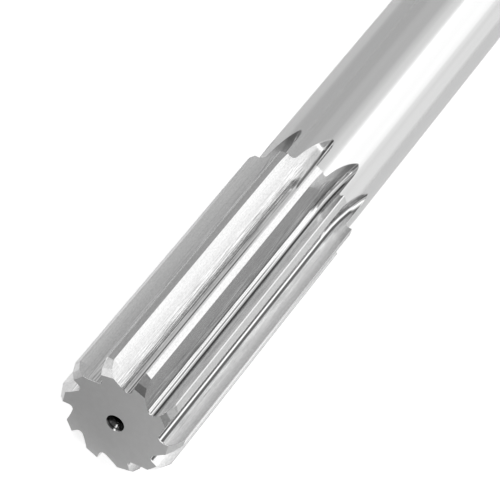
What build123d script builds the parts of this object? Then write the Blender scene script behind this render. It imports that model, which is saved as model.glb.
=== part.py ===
from build123d import *
import os
from math import acos, atan2, cos, degrees, hypot, radians, sin, sqrt, tan

# Solid machine reamer: one piece of tool steel with straight flutes and a plain round shank.
# It is drawn upright, with its axis on Z, the rear end of the shank at 0 and the cutting end up.
# The finished tool is laid down along X, as it rests on two neighbouring teeth, with Z up.
# Lengths are in millimetres and angles in degrees.

# Lengths and diameters along the tool
overall_length = 266.7
land_length = 69.85
cut_diameter = 25.4
shank_diameter = 22.21
shoulder_fillet = 1.2
shank_end_chamfer = 1.2

# Section of the teeth and of the flutes between them
tooth_count = 10
land_width = 1.45
margin_width = 0.3
land_relief = 11.0
core_diameter = 17.6
root_radius = 0.9
back_radius = 21.0

# Lead: a chamfer at the cutting end with a slower taper behind it, relieved behind the edge
chamfer_length = 0.95
chamfer_angle = 45.0
taper_length = 2.0
taper_angle = 24.0
lead_relief = 7.0

# Each flute keeps its full depth for this long, then rises on the arc of its grinding wheel
full_depth_length = 65.2
wheel_diameter = 95.0

# Centre hole in each end, for turning the tool between centres
centre_mouth = 3.7
centre_pilot = 2.0
centre_depth = 3.6
centre_angle = 60.0

# Sizes that follow from the ones above
cut_radius = cut_diameter / 2
shank_radius = shank_diameter / 2
core_radius = core_diameter / 2
wheel_radius = wheel_diameter / 2
pitch_angle = 360 / tooth_count
land_angle = degrees(land_width / cut_radius)
margin_angle = degrees(margin_width / cut_radius)
shoulder_z = overall_length - land_length
full_depth_z = overall_length - full_depth_length
outside = cut_radius / 4  # how far each cut reaches past the blank

# Blank: the shank, the shoulder behind the lands and the full cutting diameter
with BuildSketch(Plane.XZ) as blank_half:
    with BuildLine():
        Polyline(
            (0, 0),
            (shank_radius - shank_end_chamfer, 0),
            (shank_radius, shank_end_chamfer),
            (shank_radius, shoulder_z),
            (cut_radius, shoulder_z),
            (cut_radius, overall_length),
            (0, overall_length),
            close=True,
        )
    make_face()
    foot = blank_half.vertices().sort_by_distance((shank_radius, shoulder_z, 0))[0]
    fillet(foot, radius=min(shoulder_fillet, 0.9 * abs(cut_radius - shank_radius)))

# Section of a flute, ahead of the tooth whose cutting edge lies on +X: the radial rake face,
# the rounded floor that touches the core, and the hollow back that climbs to the next heel.
# The back is an arc that leaves the floor without a corner and meets the heel.
floor_centre = Vector(sqrt((core_radius + root_radius) ** 2 - root_radius**2), root_radius)
heel = Vector(cut_radius, 0).rotate(Axis.Z, pitch_angle - land_angle)
climb = heel - floor_centre
apart = back_radius - root_radius
swing = acos((climb.length**2 + apart**2 - back_radius**2) / (2 * climb.length * apart))
floor_angle = 90 + degrees(atan2(climb.Y, climb.X) - swing)
from_heel = floor_centre + Vector(apart, 0).rotate(Axis.Z, floor_angle - 90) - heel
heel_angle = 90 + degrees(atan2(from_heel.Y, from_heel.X))
with BuildSketch(Plane.XY.offset(full_depth_z)) as flute_section:
    with BuildLine():
        rake = Line((cut_radius + outside, 0), (floor_centre.X, 0))
        floor = JernArc(rake @ 1, rake % 1, radius=root_radius, arc_size=floor_angle - 180)
        back = JernArc(floor @ 1, floor % 1, radius=back_radius, arc_size=heel_angle - floor_angle)
        rise = PolarLine(back @ 1, outside, heel_angle)
        Polyline(rise @ 1, ((rake @ 0).X, (rise @ 1).Y), rake @ 0)
    make_face()

# One flute: a straight run at full depth, then the sweep of the wheel as it lifts out
with BuildPart() as flute:
    extrude(flute_section.sketch, amount=full_depth_length + outside)
    wheel_axis = Axis((core_radius + wheel_radius, 0, full_depth_z), (0, -1, 0))
    lift = cut_radius + outside - core_radius
    revolve(flute_section.sketch, wheel_axis, degrees(acos(1 - lift / wheel_radius)))

# Relief behind the narrow margin that keeps the full cutting radius
margin_end = Vector(cut_radius, 0).rotate(Axis.Z, -margin_angle)
with BuildPart() as relief:
    with BuildSketch(Plane.XY.offset(shoulder_z)):
        with BuildLine():
            relieved = PolarLine(margin_end, 1.5 * land_width, -90 - margin_angle - land_relief)
            over = Vector(outside, 0)
            Polyline(relieved @ 1, relieved @ 1 + over, margin_end + over, margin_end)
        make_face()
    extrude(amount=land_length + outside)

# Lead of one tooth: each facet starts at the cutting edge, slopes in towards the cutting end
# at its own angle and falls away behind the edge. y_dir of the plane points behind the edge.
half_pitch = cut_radius * sin(radians(pitch_angle / 2))
taper_drop = taper_length * tan(radians(taper_angle))
facets = [
    (cut_radius, overall_length - chamfer_length - taper_length, taper_angle),
    (cut_radius - taper_drop, overall_length - chamfer_length, chamfer_angle),
]
with BuildPart() as lead:
    for edge_radius, edge_z, slope in facets:
        along = Vector(-sin(radians(slope)), 0, cos(radians(slope)))
        level = Vector(cos(radians(slope)), 0, sin(radians(slope)))
        tilted = level * cos(radians(lead_relief)) - Vector(0, 1, 0) * sin(radians(lead_relief))
        facet = Plane(origin=(edge_radius, 0, edge_z), x_dir=along, z_dir=tilted)
        with BuildSketch(facet):
            size = chamfer_length + taper_length + outside
            Rectangle(2 * size, 1.5 * half_pitch, align=(Align.CENTER, Align.CENTER))
        extrude(amount=outside)

# Upright tool: the blank with a flute, a relief and a lead for every tooth
with BuildPart() as upright:
    revolve(blank_half.sketch, Axis.Z)
    with PolarLocations(0, tooth_count):
        add(flute.part, mode=Mode.SUBTRACT)
        add(relief.part, mode=Mode.SUBTRACT)
        add(lead.part, mode=Mode.SUBTRACT)
    ends = (
        Plane((0, 0, overall_length), z_dir=(0, 0, 1)),
        Plane((0, 0, 0), z_dir=(0, 0, -1)),
    )
    with Locations(*ends):
        CounterSinkHole(centre_pilot / 2, centre_mouth / 2, centre_depth, centre_angle)

# The tool lies on the cutting edge of one tooth and the relieved heel of the tooth ahead
fall = land_width - margin_width
heel_radius = hypot(
    cut_radius - fall * sin(radians(land_relief)), fall * cos(radians(land_relief))
)
chord = Vector(heel_radius, 0).rotate(Axis.Z, pitch_angle - land_angle) - Vector(cut_radius, 0)
rest_angle = -90 - degrees(atan2(-chord.X, chord.Y))
lying = Plane((0, 0, 0), x_dir=Vector(0, 1, 0).rotate(Axis.X, rest_angle), z_dir=(1, 0, 0))
with BuildPart() as reamer:
    with Locations(lying):
        add(upright.part)

reamer.part.label = "reamer"
os.makedirs("parts", exist_ok=True)
export_step(reamer.part, "parts/reamer.step")
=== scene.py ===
from math import pi, radians
import bpy
from mathutils import Matrix, Vector


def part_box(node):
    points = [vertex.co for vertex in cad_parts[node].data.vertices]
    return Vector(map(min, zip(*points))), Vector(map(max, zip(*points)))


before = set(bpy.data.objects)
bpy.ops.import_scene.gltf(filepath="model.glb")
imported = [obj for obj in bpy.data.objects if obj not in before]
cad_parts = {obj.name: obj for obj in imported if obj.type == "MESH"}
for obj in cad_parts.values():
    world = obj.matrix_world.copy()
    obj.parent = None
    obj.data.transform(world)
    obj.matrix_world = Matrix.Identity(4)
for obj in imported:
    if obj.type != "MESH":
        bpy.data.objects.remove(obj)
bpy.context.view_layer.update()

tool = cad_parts["reamer"]
lowest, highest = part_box("reamer")

# Camera, placed from the photograph: its place, its axes and its focal length
camera_place = Vector((0.65216, -0.10529, 0.46123))
camera_right = Vector((-0.4652, 0.65861, 0.59147)).normalized()
camera_up = Vector((-0.5657, -0.73513, 0.37363)).normalized()
focal_pixels = 3402.0
photo_width = 500

# Studio light. Each pair is a direction round the tool's axis, in degrees from the +Y horizon
# upwards, and its brightness. A large soft box leans over the shank, between two grey screens.
# Over the cutting end the room is dark, with light screens low on both sides.
rear_light = (
    (0, 0.78),
    (8, 1.05),
    (24, 1.05),
    (34, 0.92),
    (46, 1.32),
    (54, 1.42),
    (84, 1.42),
    (88, 1.80),
    (95, 1.80),
    (99, 0.98),
    (107, 0.94),
    (119, 0.80),
    (133, 0.62),
    (150, 0.62),
    (157, 0.64),
    (163, 0.55),
    (180, 0.55),
)
front_light = (
    (0, 0.70),
    (18, 0.70),
    (36, 0.74),
    (44, 0.67),
    (62, 0.36),
    (112, 0.40),
    (140, 0.34),
    (160, 0.80),
    (170, 1.30),
)

# The edge where the rear light gives way to the front light, as the x of the direction. It
# starts at the right-hand screen. Each move begins and ends at a direction round the axis and
# leaves the edge at a new x: out, back, out to the soft box and back to the left-hand screen.
screen_edge = -0.62
soft_box_edge = -0.318
edge_moves = (
    (40.0, 48.0, -0.45),
    (61.5, 63.5, screen_edge),
    (64.5, 68.5, soft_box_edge),
    (100.0, 120.0, -0.46),
)
edge_blur = 0.01

# Patches of the two lights that are dimmer or brighter: their soft edges by the x of the
# direction and round the axis, in degrees, and what they multiply the light by. A soft edge,
# here and below, runs from where a thing sets in to where it is full.
towards_shank = (0.0, -0.1)
rim_edge = (soft_box_edge - 0.029, soft_box_edge - 0.024)
rear_patches = (
    # The front part of the soft box, and its bright rim
    {"x": [(-0.52, -0.40)], "around": [(66, 70)], "factor": 0.88},
    {"x": [rim_edge], "around": [(66, 70), (110, 100)], "factor": 2.2},
)
front_patches = (
    # The room beyond the cutting end
    {"x": [(0.30, 0.60)], "around": [(130, 112)], "factor": 0.50},
    # The gaps beside the right-hand and the left-hand screen
    {"x": [(-0.60, -0.36), towards_shank], "around": [(40, 24)], "factor": 0.42},
    {"x": [(-0.46, -0.30), towards_shank], "around": [(125, 140)], "factor": 0.42},
    # What spills out in front of the soft box
    {"x": [(-0.10, -0.18)], "around": [(66, 72), (108, 100)], "factor": 1.8},
)

# Small lamp that glints in the centre hole
lamp_direction = (0.335, -0.722, 0.606)
lamp_edge = (0.19, 0.15)
lamp_light = 7.0

# Sizes of the tool that its finish follows, in metres and degrees. It lies along X. One cutting
# edge is at first_edge, and the section of a tooth begins a little behind its own edge.
front_x = highest.x
shoulder_x = front_x - 0.06985
full_depth_x = front_x - 0.0652
lead_x = front_x - 0.0029
groove_x = front_x - 0.0487
cut_radius = 0.0127
shank_radius = 0.011105
land_radius = 0.01245
rake_root_radius = 0.0097
centre_radius = 0.00186
wheel_radius = 0.0475
edge_rounding = 0.0001
first_edge = 1.816
pitch_angle = 36.0
margin_angle = 1.35
behind_edge = 0.5

# Floor: its own pale colour, what brings it to white for the camera, and the part of that
# which the steel mirrors far from the tool and close beside the cutting part
floor_size = 6.0
floor_colour = 0.75
floor_glow = 0.71
left_glow = 0.03
right_glow = 0.24
near_glow = 0.53
near_glow_right = 0.86
near_glow_rear = 0.35
near_reach = 0.026
far_reach = 0.034
near_front = (front_x + 0.010, front_x - 0.002)
near_rear = (shoulder_x - 0.012, shoulder_x + 0.018)

# Soft edges of the zones of the finish along X
lands_start = (shoulder_x - 0.0005, shoulder_x)
flutes_start = (shoulder_x - 0.018, shoulder_x - 0.016)
rake_start = (shoulder_x - 0.010, shoulder_x - 0.005)
corner_start = (shoulder_x - 0.0055, shoulder_x - 0.0040)
lines_start = (shoulder_x - 0.004, shoulder_x + 0.002)
lift_end = (shoulder_x - 0.003, shoulder_x - 0.005)
ramp_end = (full_depth_x, full_depth_x - 0.0006)
flat_start = (full_depth_x, full_depth_x + 0.002)
seam_start = (full_depth_x, groove_x)
groove_narrows = (full_depth_x - 0.003, full_depth_x)
groove_rear = (full_depth_x, full_depth_x - 0.001)
groove_front = (groove_x - 0.006, groove_x + 0.006)
heel_end = (lead_x, lead_x - 0.0002)
floor_end = (front_x - 0.0002, front_x - 0.0004)
end_start = (front_x - 0.0001, front_x - 0.00005)

# Soft edges of the zones by radius. Those of the floor, the lines and the ramp are taken with
# the lift of the wheel off, as if the flute had its full depth there.
flute_radius = (shank_radius - 0.00002, shank_radius - 0.00012)
land_edge = (land_radius - 0.00005, land_radius + 0.00003)
heel_radius = (0.0106, 0.0121)
flat_radius = (0.0084, 0.0086)
floor_radius = (0.0098, 0.0095)
lines_radius = (0.0107, 0.0098)
ramp_radius = (0.0097, 0.0093)
hole_radius = (centre_radius, centre_radius - 0.00006)
# Painted shade: a dark ring across the glint in the centre hole
shade_ring_inner = (0.00150, 0.00156)
shade_ring_outer = (0.00172, 0.00166)
pilot_radius = (0.00100, 0.00106)

# Soft edges of the painted light and shade in the floor, by how far they lie ahead of the rake
# face. The painted dark line along the middle of the floor is wide where the wheel lifts out, and
# narrow from there to the cutting end.
corner_ahead = (0.00021, 0.00012)
floor_ahead = (0.00105, 0.00090)
flat_ahead = ((0.00034, 0.00044), (0.00146, 0.00138))
seam_ahead = ((0.00140, 0.00148), (0.00164, 0.00156))
groove_near = 0.00044
groove_near_full = (0.00064, 0.00052)
groove_far = (0.00125, 0.00079)
groove_blur = 0.0001
groove_strength = 0.9

# Soft edges of the margin, in degrees ahead of the cutting edge. It lies across the line where
# the section of one tooth ends and the next begins: its front, and its rear.
margin_front = (0.0, -0.03)
margin_rear = (pitch_angle - margin_angle - 0.1, pitch_angle - margin_angle + 0.1)

# Soft edges of the zones by where the surface faces: cosines to the outside of the tool, to
# the side that the rake faces look to, and to the cutting end
plain_outward = (0.985, 0.995)
land_outward = (0.85, 0.92)
rake_sideways = (0.90, 0.97)
end_forward = (0.90, 0.98)
rear_forward = (-0.90, -0.98)
hole_forward = (0.90, 0.80)

# Tones of the steel, and how rough it is
tones = {
    "shank": 0.70,
    "flute": 0.62,
    "heel": 0.70,
    "land": 0.56,
    "margin": 0.76,
    # Painted shading of the rake faces: lighter at the root, darker at the cutting edge
    "rake_root_painted_light": 0.80,
    "rake_edge_painted_shade": 0.47,
    "end": 0.52,
    # Painted highlight on the floor of each flute, a painted dark reflection along it, and painted
    # shade in its seam and its corner
    "floor": 0.80,
    "groove_dark_reflection": 0.18,
    "seam_shade": 0.34,
    "corner_shade": 0.12,
    # Painted shade in the centre hole, darkest in its bore and in a ring
    "hole": 0.15,
    "bore_shade": 0.03,
}
ramp_shade = 0.72
roughness = {"shank": 0.16, "flute": 0.15, "end": 0.42, "lift": 0.05, "hole": 0.16}
grain_roughness = 0.12
fine_grain_roughness = 0.04

# Marks of the wheels and of the lathe, as noise: how it is drawn out along the three axes, its
# scale and its detail. Below are the shares of the marks in the tone and in the relief.
mark_noise = {
    "long": ((0.012, 1.0, 1.0), 4200.0, 4.0),
    "deep": ((0.03, 1.0, 1.0), 4600.0, 3.0),
    "broad": ((0.006, 1.0, 1.0), 900.0, 2.0),
    "grain": ((1.0, 1.0, 1.0), 2600.0, 4.0),
    "mottle": ((0.5, 1.0, 1.0), 3600.0, 2.0),
    "rings": ((1.0, 0.03, 0.03), 5200.0, 4.0),
}
long_tone = 0.16
broad_tone = 0.06
mottle_tone = 0.20
deep_tone = 1.1
rings_relief = 0.25
end_relief = 0.1
deep_relief = 8.0
grain_relief = 0.3
relief_strength = 0.6
relief_height = 0.000004

# How far the flat strip of the floor is turned from facing straight away from the axis
flat_turn = 9.0


class Nodes:
    """Short way to add nodes to a tree and to wire them."""

    def __init__(self, tree):
        self.tree = tree

    def add(self, kind, **settings):
        node = self.tree.nodes.new(kind)
        for name, value in settings.items():
            setattr(node, name, value)
        return node

    def plug(self, source, socket):
        if isinstance(source, bpy.types.NodeSocket):
            self.tree.links.new(source, socket)
        else:
            socket.default_value = source

    def math(self, operation, *values):
        node = self.add("ShaderNodeMath", operation=operation)
        for value, socket in zip(values, node.inputs):
            self.plug(value, socket)
        return node.outputs[0]

    def product(self, *values):
        result = values[0]
        for value in values[1:]:
            result = self.math("MULTIPLY", result, value)
        return result

    def total(self, *values):
        result = values[0]
        for value in values[1:]:
            result = self.math("ADD", result, value)
        return result

    def span(self, value, start, end, low_value=0.0, high_value=1.0):
        """Runs smoothly from low_value at start to high_value at end."""
        node = self.add("ShaderNodeMapRange", interpolation_type="SMOOTHSTEP")
        for source, name in (
            (value, "Value"),
            (start, "From Min"),
            (end, "From Max"),
            (low_value, "To Min"),
            (high_value, "To Max"),
        ):
            self.plug(source, node.inputs[name])
        return node.outputs[0]

    def blend(self, mask, under, over):
        mix = self.add("ShaderNodeMix")
        self.plug(mask, mix.inputs[0])
        self.plug(under, mix.inputs[2])
        self.plug(over, mix.inputs[3])
        return mix.outputs[0]

    def blend_vectors(self, mask, under, over):
        mix = self.add("ShaderNodeMix", data_type="VECTOR")
        self.plug(mask, mix.inputs[0])
        self.plug(under, mix.inputs[4])
        self.plug(over, mix.inputs[5])
        return mix.outputs[1]

    def opposite(self, mask):
        return self.math("SUBTRACT", 1.0, mask)

    def split(self, vector):
        node = self.add("ShaderNodeSeparateXYZ")
        self.plug(vector, node.inputs[0])
        return node.outputs

    def noise(self, vector, stretch, scale, detail):
        """Noise around zero, drawn out along the axes by the three factors of stretch."""
        mapping = self.add("ShaderNodeMapping")
        self.plug(vector, mapping.inputs["Vector"])
        mapping.inputs["Scale"].default_value = stretch
        noise = self.add("ShaderNodeTexNoise")
        self.plug(mapping.outputs[0], noise.inputs["Vector"])
        noise.inputs["Scale"].default_value = scale
        noise.inputs["Detail"].default_value = detail
        return self.math("SUBTRACT", noise.outputs["Fac"], 0.5)


def add_camera():
    data = bpy.data.cameras.new("camera")
    data.sensor_fit = "HORIZONTAL"
    data.sensor_width = 36.0
    data.lens = data.sensor_width * focal_pixels / photo_width
    data.clip_start = 0.01
    data.clip_end = 20.0
    camera = bpy.data.objects.new("camera", data)
    back = camera_right.cross(camera_up).normalized()
    up = back.cross(camera_right)
    turn = Matrix((camera_right, up, back)).transposed()
    camera.matrix_world = Matrix.Translation(camera_place) @ turn.to_4x4()
    bpy.context.scene.collection.objects.link(camera)
    bpy.context.scene.camera = camera


def places_on_tool(nodes, place, normal):
    """Measures of a point in the section of its own tooth, and where its surface faces."""
    x, y, z = nodes.split(place)
    nx, ny, nz = nodes.split(normal)
    radius = nodes.math("SQRT", nodes.total(nodes.product(y, y), nodes.product(z, z)))

    # Angle ahead of the edge of the tooth, counted from a little behind that edge
    angle = nodes.math("ARCTAN2", z, y)
    turn = nodes.math("SUBTRACT", angle, radians(first_edge - behind_edge))
    section = nodes.math("FLOORED_MODULO", turn, radians(pitch_angle))
    cell = nodes.math("SUBTRACT", section, radians(behind_edge))

    # How far the grinding wheel has lifted here, behind the part that it cuts at full depth
    behind = nodes.math("MAXIMUM", nodes.math("SUBTRACT", full_depth_x, x), 0.0)
    reach = nodes.math("SUBTRACT", wheel_radius**2, nodes.product(behind, behind))
    drop = nodes.math("SQRT", nodes.math("MAXIMUM", reach, 0.0))
    lift = nodes.math("SUBTRACT", wheel_radius, drop)

    along_radius = nodes.total(nodes.product(ny, y), nodes.product(nz, z))
    across_radius = nodes.math("SUBTRACT", nodes.product(nz, y), nodes.product(ny, z))
    return {
        "x": x,
        "radius": radius,
        "cell": cell,
        "tooth": nodes.math("SUBTRACT", angle, cell),
        "ahead": nodes.product(radius, nodes.math("SINE", cell)),
        "depth": nodes.product(radius, nodes.math("COSINE", cell)),
        "core": nodes.math("SUBTRACT", radius, lift),
        "forward": nx,
        "outward": nodes.math("DIVIDE", along_radius, radius),
        "sideways": nodes.math("DIVIDE", across_radius, radius),
    }


def floor_zones(nodes, at, inside):
    """Masks in the floor of a flute: painted highlight, painted shade in the corner and the seam,
    a painted dark reflection along the middle, the flatter strip and the wheel's lines.
    """
    x = at["x"]
    before_end = nodes.span(x, *floor_end)
    in_floor = nodes.span(at["core"], *floor_radius)
    # Painted highlight: the floor of the flute is lighter
    floor = nodes.product(in_floor, nodes.span(at["ahead"], *floor_ahead), before_end, inside)
    near_full = nodes.span(x, *groove_narrows, *groove_near_full)
    far = nodes.span(x, *groove_narrows, *groove_far)
    far_full = nodes.math("SUBTRACT", far, groove_blur)
    return {
        "floor": floor,
        # Painted shade in the corner at the foot of the rake face
        "corner_shade": nodes.product(
            nodes.span(at["ahead"], *corner_ahead),
            nodes.span(x, *corner_start),
            floor,
        ),
        # Painted dark reflection: a line along the middle of the floor
        "groove_dark_reflection": nodes.product(
            nodes.span(at["ahead"], groove_near, near_full),
            nodes.span(at["ahead"], far, far_full),
            nodes.total(
                nodes.span(x, *groove_rear, 0.0, groove_strength),
                nodes.span(x, *groove_front, 0.0, groove_strength),
            ),
            floor,
        ),
        # Painted shade where the floor of the flute meets its back
        "seam_shade": nodes.product(
            nodes.span(at["ahead"], *seam_ahead[0]),
            nodes.span(at["ahead"], *seam_ahead[1]),
            nodes.span(x, *seam_start),
            before_end,
            inside,
        ),
        "flat": nodes.product(
            nodes.span(at["ahead"], *flat_ahead[0]),
            nodes.span(at["ahead"], *flat_ahead[1]),
            nodes.span(x, *flat_start),
            nodes.span(at["radius"], *flat_radius),
            in_floor,
            before_end,
            inside,
        ),
        "lines": nodes.product(
            nodes.span(at["core"], *lines_radius),
            nodes.span(x, *lines_start),
            before_end,
            inside,
        ),
    }


def zones_of_tool(nodes, at):
    """Masks of the surfaces that are finished in different ways."""
    x = at["x"]
    fluted = nodes.span(x, *lands_start)
    plain = nodes.product(nodes.span(at["outward"], *plain_outward), nodes.opposite(fluted))
    inside = nodes.product(nodes.span(at["radius"], *flute_radius), nodes.span(x, *flutes_start))
    land = nodes.product(
        fluted,
        nodes.span(at["outward"], *land_outward),
        nodes.span(at["radius"], *land_edge),
    )
    front = nodes.span(at["cell"], *map(radians, margin_front))
    rear = nodes.span(at["cell"], *map(radians, margin_rear))
    return {
        "ground": nodes.opposite(plain),
        "land": land,
        "margin": nodes.product(land, nodes.math("MAXIMUM", front, rear)),
        "rake": nodes.product(
            nodes.span(at["sideways"], *rake_sideways),
            nodes.span(x, *rake_start),
        ),
        "lift": nodes.product(nodes.span(x, *lift_end), inside),
        "ramp": nodes.product(
            nodes.span(at["core"], *ramp_radius),
            nodes.span(x, *ramp_end),
            inside,
        ),
        "end": nodes.product(nodes.span(at["forward"], *end_forward), nodes.span(x, *end_start)),
        "rear": nodes.span(at["forward"], *rear_forward),
        "hole": nodes.product(
            nodes.span(at["radius"], *hole_radius),
            nodes.span(at["forward"], *hole_forward),
        ),
        **floor_zones(nodes, at, inside),
    }


def steel_tone(nodes, at, zone, noise):
    """How light the steel is: each zone over the ones before it, with the marks in between."""
    heel = nodes.product(nodes.span(at["radius"], *heel_radius), nodes.span(at["x"], *heel_end))
    flute_tone = nodes.blend(heel, tones["flute"], tones["heel"])
    # Painted shading: each rake face is lighter at its root and darker towards its cutting edge
    rake_painted_shading = nodes.span(
        at["depth"], rake_root_radius, cut_radius, tones["rake_root_painted_light"], tones["rake_edge_painted_shade"]
    )
    tone = nodes.blend(zone["ground"], tones["shank"], flute_tone)
    tone = nodes.blend(zone["land"], tone, tones["land"])
    tone = nodes.blend(zone["margin"], tone, tones["margin"])
    tone = nodes.blend(zone["rake"], tone, rake_painted_shading)
    tone = nodes.blend(zone["end"], tone, tones["end"])

    marked = nodes.product(zone["ground"], nodes.opposite(zone["end"]))
    tone = nodes.total(
        tone,
        nodes.product(noise["long"], marked, long_tone),
        nodes.product(noise["broad"], broad_tone),
        nodes.product(noise["mottle"], marked, mottle_tone),
        nodes.product(noise["deep"], zone["lines"], deep_tone),
    )
    tone = nodes.blend(zone["ramp"], tone, nodes.product(tone, ramp_shade))
    # Painted highlight on the floor, a painted dark reflection along it, and painted shade in its
    # seam and its corner
    for name in ("floor", "groove_dark_reflection", "seam_shade", "corner_shade"):
        tone = nodes.blend(zone[name], tone, tones[name])

    # Painted shade in the centre hole: dark, darkest in the bore and in a ring across its glint
    shade_ring = nodes.product(
        nodes.span(at["radius"], *shade_ring_inner),
        nodes.span(at["radius"], *shade_ring_outer),
    )
    hole_shade_tone = nodes.span(at["radius"], *pilot_radius, tones["bore_shade"], tones["hole"])
    hole_shade_tone = nodes.blend(shade_ring, hole_shade_tone, tones["bore_shade"])
    return nodes.blend(zone["hole"], tone, hole_shade_tone)


def steel_roughness(nodes, zone, noise):
    """How rough the steel is. The faced end and the run-outs have less grain than the rest."""
    ends = nodes.math("MAXIMUM", zone["end"], zone["rear"])
    rough = nodes.blend(zone["ground"], roughness["shank"], roughness["flute"])
    rough = nodes.blend(ends, rough, roughness["end"])
    rough = nodes.blend(zone["lift"], rough, roughness["lift"])
    rough = nodes.blend(zone["hole"], rough, roughness["hole"])
    even = nodes.math("MAXIMUM", zone["end"], zone["lift"])
    grain_share = nodes.blend(even, grain_roughness, fine_grain_roughness)
    return nodes.total(rough, nodes.product(noise["grain"], grain_share))


def steel_normal(nodes, at, zone, noise):
    """Rounded edges, the flatter strip along the floor of a flute, and the relief of the marks."""
    rounded = nodes.add("ShaderNodeBevel", samples=6)
    rounded.inputs["Radius"].default_value = edge_rounding
    facing = nodes.math("ADD", at["tooth"], radians(flat_turn))
    level = nodes.add("ShaderNodeCombineXYZ")
    nodes.plug(nodes.math("COSINE", facing), level.inputs["Y"])
    nodes.plug(nodes.math("SINE", facing), level.inputs["Z"])
    smooth = nodes.blend_vectors(zone["flat"], rounded.outputs[0], level.outputs[0])

    rings = nodes.product(noise["rings"], rings_relief)
    relief = nodes.blend(zone["ground"], rings, noise["long"])
    relief = nodes.blend(zone["end"], relief, nodes.product(noise["grain"], end_relief))
    relief = nodes.blend(zone["lines"], relief, nodes.product(noise["deep"], deep_relief))
    relief = nodes.total(relief, nodes.product(noise["grain"], grain_relief))
    bump = nodes.add("ShaderNodeBump")
    bump.inputs["Strength"].default_value = relief_strength
    bump.inputs["Distance"].default_value = relief_height
    nodes.plug(smooth, bump.inputs["Normal"])
    nodes.plug(relief, bump.inputs["Height"])
    return bump.outputs[0]


def steel():
    material = bpy.data.materials.new("ground_steel")
    material.use_nodes = True
    shader = material.node_tree.nodes["Principled BSDF"]
    nodes = Nodes(material.node_tree)
    coordinates = nodes.add("ShaderNodeTexCoord").outputs
    place = coordinates["Object"]
    at = places_on_tool(nodes, place, coordinates["Normal"])
    zone = zones_of_tool(nodes, at)
    noise = {name: nodes.noise(place, *shape) for name, shape in mark_noise.items()}

    tone = steel_tone(nodes, at, zone, noise)
    colour = nodes.add("ShaderNodeCombineColor")
    for socket in colour.inputs[:3]:
        nodes.plug(tone, socket)
    nodes.plug(colour.outputs[0], shader.inputs["Base Color"])
    nodes.plug(steel_roughness(nodes, zone, noise), shader.inputs["Roughness"])
    nodes.plug(steel_normal(nodes, at, zone, noise), shader.inputs["Normal"])
    shader.inputs["Metallic"].default_value = 1.0
    return material


def mirrored_glow(nodes, place):
    """How light the floor is in the steel: far from the tool, and close beside it."""
    x, y = nodes.split(place)[:2]
    far = nodes.span(y, -far_reach, far_reach, left_glow, right_glow)
    near = nodes.span(y, 0.0, near_reach, near_glow, near_glow_right)
    near = nodes.span(x, *near_front, 0.0, near)
    near = nodes.product(near, nodes.span(x, *near_rear, near_glow_rear, 1.0))
    beside = nodes.math("MAXIMUM", near, far)
    return nodes.span(nodes.math("ABSOLUTE", y), near_reach, far_reach, beside, far)


def floor_white():
    material = bpy.data.materials.new("floor_white")
    material.use_nodes = True
    tree = material.node_tree
    tree.nodes.clear()
    nodes = Nodes(tree)
    paint = nodes.add("ShaderNodeBsdfDiffuse")
    paint.inputs["Color"].default_value = (floor_colour, floor_colour, floor_colour, 1)
    ray = nodes.add("ShaderNodeLightPath").outputs
    seen = nodes.product(ray["Is Camera Ray"], floor_glow)
    mirrored = nodes.math("MAXIMUM", ray["Is Glossy Ray"], ray["Is Transmission Ray"])
    place = nodes.add("ShaderNodeNewGeometry").outputs["Position"]
    glow = nodes.add("ShaderNodeEmission")
    strength = nodes.total(seen, nodes.product(mirrored, mirrored_glow(nodes, place)))
    nodes.plug(strength, glow.inputs["Strength"])
    both = nodes.add("ShaderNodeAddShader")
    nodes.plug(paint.outputs[0], both.inputs[0])
    nodes.plug(glow.outputs[0], both.inputs[1])
    output = nodes.add("ShaderNodeOutputMaterial")
    nodes.plug(both.outputs[0], output.inputs["Surface"])
    return material


def add_floor():
    half = floor_size / 2
    corners = ((-half, -half), (half, -half), (half, half), (-half, half))
    mesh = bpy.data.meshes.new("floor")
    mesh.from_pydata([(x, y, lowest.z) for x, y in corners], [], [(0, 1, 2, 3)])
    mesh.materials.append(floor_white())
    floor = bpy.data.objects.new("floor", mesh)
    bpy.context.scene.collection.objects.link(floor)


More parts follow.
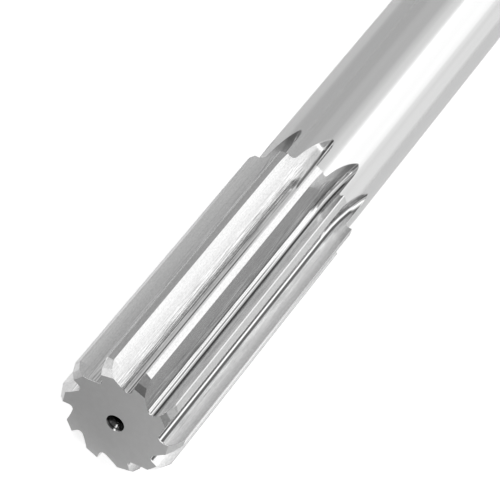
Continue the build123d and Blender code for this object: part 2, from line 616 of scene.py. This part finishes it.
def light_round_axis(nodes, angle, bands):
    """Brightness by the direction round the tool's axis."""
    ramp = nodes.add("ShaderNodeValToRGB")
    nodes.plug(nodes.math("DIVIDE", angle, pi), ramp.inputs["Fac"])
    stops = ramp.color_ramp.elements
    while len(stops) < len(bands):
        stops.new(1.0)
    for stop, (direction, level) in zip(stops, bands):
        stop.position = direction / 180
        stop.color = (level, level, level, 1)
    return ramp.outputs["Color"]


def with_patches(nodes, light, x, angle, patches):
    """The light, made dimmer or brighter inside each patch."""
    for patch in patches:
        masks = [nodes.span(x, *edge) for edge in patch["x"]]
        masks += [nodes.span(angle, *map(radians, edge)) for edge in patch["around"]]
        share = nodes.blend(nodes.product(*masks), 1.0, patch["factor"])
        light = nodes.product(light, share)
    return light


def add_world():
    world = bpy.data.worlds.new("studio")
    bpy.context.scene.world = world
    world.use_nodes = True
    tree = world.node_tree
    tree.nodes.clear()
    nodes = Nodes(tree)
    direction = nodes.add("ShaderNodeTexCoord").outputs["Generated"]
    x, y, z = nodes.split(direction)
    angle = nodes.math("ARCTAN2", z, y)
    rear = light_round_axis(nodes, angle, rear_light)
    rear = with_patches(nodes, rear, x, angle, rear_patches)
    front = light_round_axis(nodes, angle, front_light)
    front = with_patches(nodes, front, x, angle, front_patches)

    lamp = nodes.add("ShaderNodeVectorMath", operation="DISTANCE")
    nodes.plug(direction, lamp.inputs[0])
    lamp.inputs[1].default_value = lamp_direction
    front = nodes.total(front, nodes.span(lamp.outputs["Value"], *lamp_edge, 0.0, lamp_light))

    edge = screen_edge
    for start, end, new_edge in edge_moves:
        edge = nodes.span(angle, radians(start), radians(end), edge, new_edge)
    blur_start = nodes.math("SUBTRACT", edge, edge_blur)
    blur_end = nodes.math("ADD", edge, edge_blur)
    light = nodes.blend(nodes.span(x, blur_start, blur_end), rear, front)
    background = nodes.add("ShaderNodeBackground")
    nodes.plug(light, background.inputs["Color"])
    output = nodes.add("ShaderNodeOutputWorld")
    nodes.plug(background.outputs[0], output.inputs["Surface"])


add_camera()
add_floor()
add_world()
tool.material_slots[0].material = steel()
bpy.context.scene.view_settings.view_transform = "Standard"
